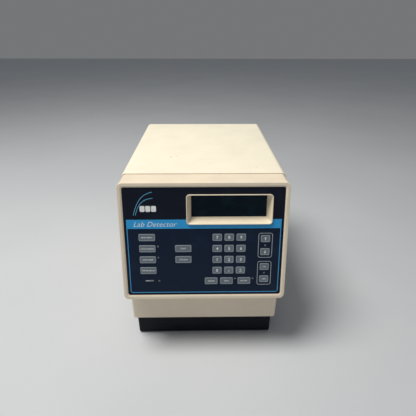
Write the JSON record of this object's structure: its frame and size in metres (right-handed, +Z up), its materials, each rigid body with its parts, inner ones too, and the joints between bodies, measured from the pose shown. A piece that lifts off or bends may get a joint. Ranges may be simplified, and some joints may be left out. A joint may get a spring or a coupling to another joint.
{
  "type": "benchtop laboratory detector",
  "caption": "Beige benchtop laboratory detector: painted case on a black plinth, leaning front panel with membrane keys and a deep-set display, connectors and fan at the back.",
  "frame": {"origin": "on the standing surface, under the middle of the whole instrument's box", "axes": "+X to the right seen from the front, +Y from the front panel to the back, +Z up"},
  "size_m": [0.267, 0.3998, 0.3108],
  "materials": {
    "beige_paint": "fine satin powder coat, cream beige",
    "beige_moulding": "satin moulded plastic, beige",
    "black_paint": "satin black paint",
    "plated_steel": "zinc-plated steel",
    "aluminium_sheet": "plain aluminium sheet",
    "turned_aluminium": "turned and clear anodised",
    "printed_film": "blue-black polyester film with a blue band and a thin blue inset line",
    "key_film": "embossed grey film key",
    "smoked_window": "dark smoked window",
    "circuit_board": "green solder-masked board",
    "black_plastic": "black moulded plastic",
    "foot_rubber": "black rubber",
    "brass_plated": "machined brass"
  },
  "bodies": {
    "case": {"front_housing": "beige_moulding", "lower_front_panel": "beige_moulding", "display_frame": "beige_moulding", "cover": "beige_paint", "rear_panel": "beige_paint", "chassis_tray": "plated_steel", "base_plinth": "black_paint", "keypad_overlay": "printed_film", "panel_plate": "aluminium_sheet", "keypad_board": "circuit_board", "display_window": "smoked_window", "display_module": "circuit_board", "fan_frame": "black_plastic", "power_inlet": "black_plastic", "serial_port": "plated_steel", "signal_terminals": "black_plastic", "cell_socket_left": "turned_aluminium", "cell_socket_right": "turned_aluminium", "ground_post": "brass_plated", "transformer": "plated_steel", "main_board": "circuit_board", "amplifier_box": "aluminium_sheet", "foot_front_left": "foot_rubber", "foot_front_right": "foot_rubber", "foot_rear_left": "foot_rubber", "foot_rear_right": "foot_rubber", "cover_screw_left_low": "plated_steel", "cover_screw_right_low": "plated_steel", "cover_screw_left_high": "plated_steel", "cover_screw_right_high": "plated_steel"},
    "key_menu": {"key_menu": "key_film"},
    "key_hold": {"key_hold": "key_film"},
    "key_range": {"key_range": "key_film"},
    "key_setup": {"key_setup": "key_film"},
    "key_run": {"key_run": "key_film"},
    "key_stop": {"key_stop": "key_film"},
    "key_7": {"key_7": "key_film"},
    "key_8": {"key_8": "key_film"},
    "key_9": {"key_9": "key_film"},
    "key_4": {"key_4": "key_film"},
    "key_5": {"key_5": "key_film"},
    "key_6": {"key_6": "key_film"},
    "key_1": {"key_1": "key_film"},
    "key_2": {"key_2": "key_film"},
    "key_3": {"key_3": "key_film"},
    "key_0": {"key_0": "key_film"},
    "key_dot": {"key_dot": "key_film"},
    "key_sign": {"key_sign": "key_film"},
    "key_clear": {"key_clear": "key_film"},
    "key_zero": {"key_zero": "key_film"},
    "key_enter": {"key_enter": "key_film"},
    "key_up": {"key_up": "key_film"},
    "key_down": {"key_down": "key_film"},
    "key_on": {"key_on": "key_film"},
    "key_off": {"key_off": "key_film"},
    "fan_rotor": {"fan_rotor": "black_plastic"},
    "fuse_drawer": {"fuse_drawer": "black_plastic"},
    "power_switch_rocker": {"power_switch_rocker": "black_plastic"}
  },
  "joints": [
    {"name": "key_menu_press", "type": "slide", "parent": "case", "child": "key_menu", "axis": [0, 0.9755, -0.2198], "range_m": [0, 0.0005], "stiffness_N_per_m": 800, "springref_m": -0.0003},
    {"name": "key_hold_press", "type": "slide", "parent": "case", "child": "key_hold", "axis": [0, 0.9755, -0.2198], "range_m": [0, 0.0005], "stiffness_N_per_m": 800, "springref_m": -0.0003},
    {"name": "key_range_press", "type": "slide", "parent": "case", "child": "key_range", "axis": [0, 0.9755, -0.2198], "range_m": [0, 0.0005], "stiffness_N_per_m": 800, "springref_m": -0.0003},
    {"name": "key_setup_press", "type": "slide", "parent": "case", "child": "key_setup", "axis": [0, 0.9755, -0.2198], "range_m": [0, 0.0005], "stiffness_N_per_m": 800, "springref_m": -0.0003},
    {"name": "key_run_press", "type": "slide", "parent": "case", "child": "key_run", "axis": [0, 0.9755, -0.2198], "range_m": [0, 0.0005], "stiffness_N_per_m": 800, "springref_m": -0.0003},
    {"name": "key_stop_press", "type": "slide", "parent": "case", "child": "key_stop", "axis": [0, 0.9755, -0.2198], "range_m": [0, 0.0005], "stiffness_N_per_m": 800, "springref_m": -0.0003},
    {"name": "key_7_press", "type": "slide", "parent": "case", "child": "key_7", "axis": [0, 0.9755, -0.2198], "range_m": [0, 0.0005], "stiffness_N_per_m": 800, "springref_m": -0.0003},
    {"name": "key_8_press", "type": "slide", "parent": "case", "child": "key_8", "axis": [0, 0.9755, -0.2198], "range_m": [0, 0.0005], "stiffness_N_per_m": 800, "springref_m": -0.0003},
    {"name": "key_9_press", "type": "slide", "parent": "case", "child": "key_9", "axis": [0, 0.9755, -0.2198], "range_m": [0, 0.0005], "stiffness_N_per_m": 800, "springref_m": -0.0003},
    {"name": "key_4_press", "type": "slide", "parent": "case", "child": "key_4", "axis": [0, 0.9755, -0.2198], "range_m": [0, 0.0005], "stiffness_N_per_m": 800, "springref_m": -0.0003},
    {"name": "key_5_press", "type": "slide", "parent": "case", "child": "key_5", "axis": [0, 0.9755, -0.2198], "range_m": [0, 0.0005], "stiffness_N_per_m": 800, "springref_m": -0.0003},
    {"name": "key_6_press", "type": "slide", "parent": "case", "child": "key_6", "axis": [0, 0.9755, -0.2198], "range_m": [0, 0.0005], "stiffness_N_per_m": 800, "springref_m": -0.0003},
    {"name": "key_1_press", "type": "slide", "parent": "case", "child": "key_1", "axis": [0, 0.9755, -0.2198], "range_m": [0, 0.0005], "stiffness_N_per_m": 800, "springref_m": -0.0003},
    {"name": "key_2_press", "type": "slide", "parent": "case", "child": "key_2", "axis": [0, 0.9755, -0.2198], "range_m": [0, 0.0005], "stiffness_N_per_m": 800, "springref_m": -0.0003},
    {"name": "key_3_press", "type": "slide", "parent": "case", "child": "key_3", "axis": [0, 0.9755, -0.2198], "range_m": [0, 0.0005], "stiffness_N_per_m": 800, "springref_m": -0.0003},
    {"name": "key_0_press", "type": "slide", "parent": "case", "child": "key_0", "axis": [0, 0.9755, -0.2198], "range_m": [0, 0.0005], "stiffness_N_per_m": 800, "springref_m": -0.0003},
    {"name": "key_dot_press", "type": "slide", "parent": "case", "child": "key_dot", "axis": [0, 0.9755, -0.2198], "range_m": [0, 0.0005], "stiffness_N_per_m": 800, "springref_m": -0.0003},
    {"name": "key_sign_press", "type": "slide", "parent": "case", "child": "key_sign", "axis": [0, 0.9755, -0.2198], "range_m": [0, 0.0005], "stiffness_N_per_m": 800, "springref_m": -0.0003},
    {"name": "key_clear_press", "type": "slide", "parent": "case", "child": "key_clear", "axis": [0, 0.9755, -0.2198], "range_m": [0, 0.0005], "stiffness_N_per_m": 800, "springref_m": -0.0003},
    {"name": "key_zero_press", "type": "slide", "parent": "case", "child": "key_zero", "axis": [0, 0.9755, -0.2198], "range_m": [0, 0.0005], "stiffness_N_per_m": 800, "springref_m": -0.0003},
    {"name": "key_enter_press", "type": "slide", "parent": "case", "child": "key_enter", "axis": [0, 0.9755, -0.2198], "range_m": [0, 0.0005], "stiffness_N_per_m": 800, "springref_m": -0.0003},
    {"name": "key_up_press", "type": "slide", "parent": "case", "child": "key_up", "axis": [0, 0.9755, -0.2198], "range_m": [0, 0.0005], "stiffness_N_per_m": 800, "springref_m": -0.0003},
    {"name": "key_down_press", "type": "slide", "parent": "case", "child": "key_down", "axis": [0, 0.9755, -0.2198], "range_m": [0, 0.0005], "stiffness_N_per_m": 800, "springref_m": -0.0003},
    {"name": "key_on_press", "type": "slide", "parent": "case", "child": "key_on", "axis": [0, 0.9755, -0.2198], "range_m": [0, 0.0005], "stiffness_N_per_m": 800, "springref_m": -0.0003},
    {"name": "key_off_press", "type": "slide", "parent": "case", "child": "key_off", "axis": [0, 0.9755, -0.2198], "range_m": [0, 0.0005], "stiffness_N_per_m": 800, "springref_m": -0.0003},
    {"name": "fan_spin", "type": "hinge", "parent": "case", "child": "fan_rotor", "pos_m": [-0.062, 0.1736, 0.232], "axis": [0, 1, 0], "continuous": true},
    {"name": "fuse_drawer_slide", "type": "slide", "parent": "case", "child": "fuse_drawer", "axis": [0, 1, 0], "range_m": [0, 0.016]},
    {"name": "power_switch_rock", "type": "hinge", "parent": "case", "child": "power_switch_rocker", "pos_m": [-0.092, 0.1893, 0.1175], "axis": [1, 0, 0], "range_deg": [-16, 0]}
  ]
}
